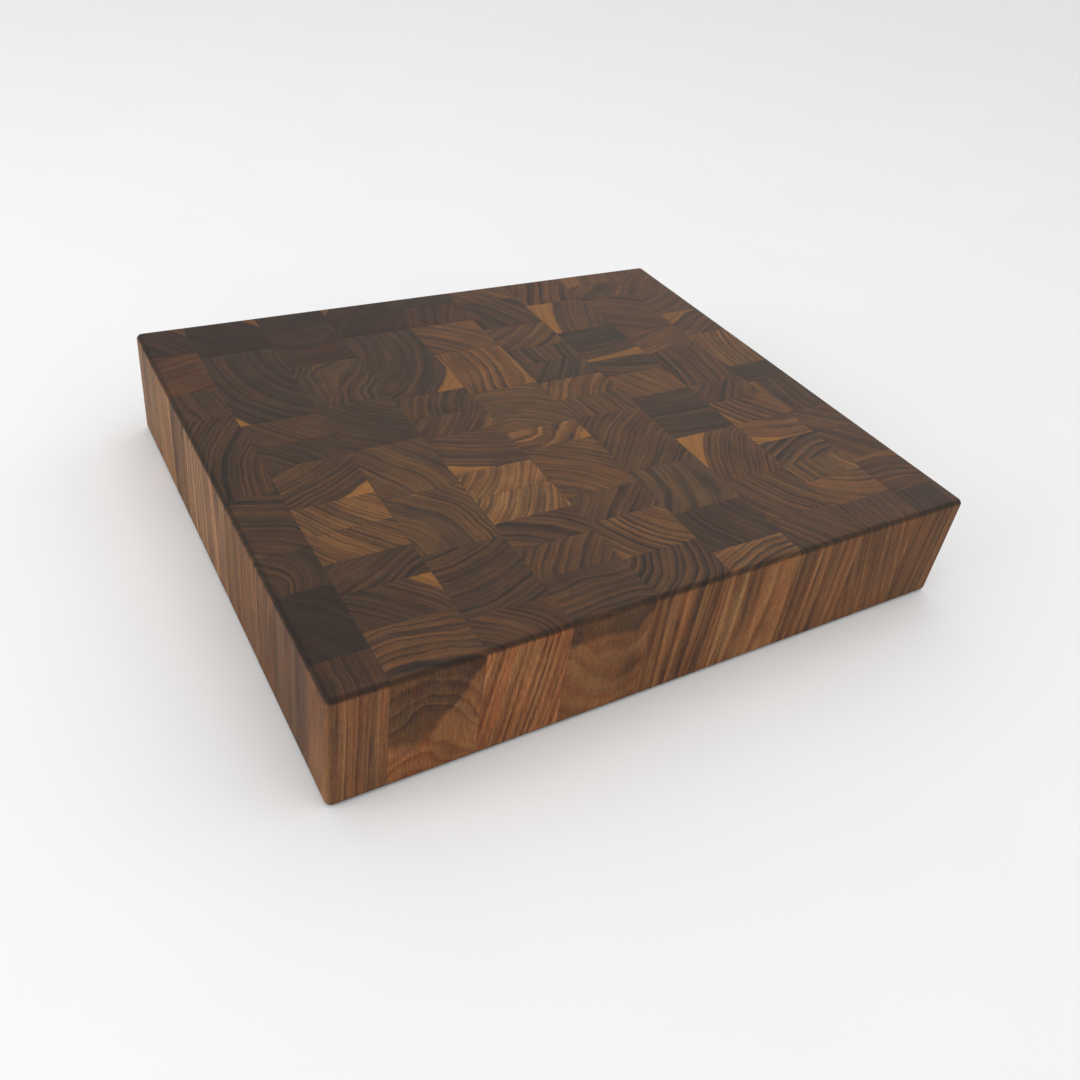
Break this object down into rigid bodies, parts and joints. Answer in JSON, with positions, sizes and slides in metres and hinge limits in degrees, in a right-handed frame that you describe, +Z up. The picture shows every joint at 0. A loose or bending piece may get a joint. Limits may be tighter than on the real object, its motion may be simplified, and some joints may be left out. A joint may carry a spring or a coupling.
{
  "type": "end-grain cutting board",
  "caption": "Thick rectangular end-grain walnut cutting board glued from upright blocks in staggered strips, with small rounded-over edges and two flat working faces.",
  "frame": {"origin": "middle of the underside, on the plane that rests on the worktop", "axes": "+X to the right along the longer side, +Y to the back across the strips' ends, +Z up through the thickness, along the wood's fibres"},
  "size_m": [0.3556, 0.3048, 0.0635],
  "materials": {
    "walnut": "oiled satin",
    "walnut_dark": "oiled satin",
    "walnut_pale": "oiled satin",
    "glue": "cured wood glue"
  },
  "bodies": {
    "root": {"glue_between_strips": "glue", "strip_1_block_1": "walnut", "strip_1_block_2": "walnut", "strip_1_block_3": "walnut_dark", "strip_1_block_4": "walnut", "strip_1_block_5": "walnut_dark", "strip_1_block_6": "walnut_dark", "strip_1_block_7": "walnut_pale", "strip_1_block_8": "walnut_dark", "strip_1_glue": "glue", "strip_2_back_block": "walnut_dark", "strip_2_front_block": "walnut", "strip_2_glue": "glue", "strip_2_inner_blocks": "walnut", "strip_3_back_block": "walnut_dark", "strip_3_front_block": "walnut", "strip_3_glue": "glue", "strip_3_inner_blocks": "walnut", "strip_4_back_block": "walnut_dark", "strip_4_front_block": "walnut", "strip_4_glue": "glue", "strip_4_inner_blocks": "walnut", "strip_5_back_block": "walnut_dark", "strip_5_front_block": "walnut", "strip_5_glue": "glue", "strip_5_inner_blocks": "walnut", "strip_6_back_block": "walnut", "strip_6_front_block": "walnut_pale", "strip_6_glue": "glue", "strip_6_inner_blocks": "walnut", "strip_7_back_block": "walnut", "strip_7_front_block": "walnut", "strip_7_glue": "glue", "strip_7_inner_blocks": "walnut", "strip_8_back_block": "walnut", "strip_8_front_block": "walnut", "strip_8_glue": "glue", "strip_8_inner_blocks": "walnut", "strip_9_block_1": "walnut", "strip_9_block_10": "walnut", "strip_9_block_2": "walnut", "strip_9_block_3": "walnut", "strip_9_block_4": "walnut", "strip_9_block_5": "walnut", "strip_9_block_6": "walnut_dark", "strip_9_block_7": "walnut_pale", "strip_9_block_8": "walnut_dark", "strip_9_block_9": "walnut", "strip_9_glue": "glue"}
  },
  "joints": []
}
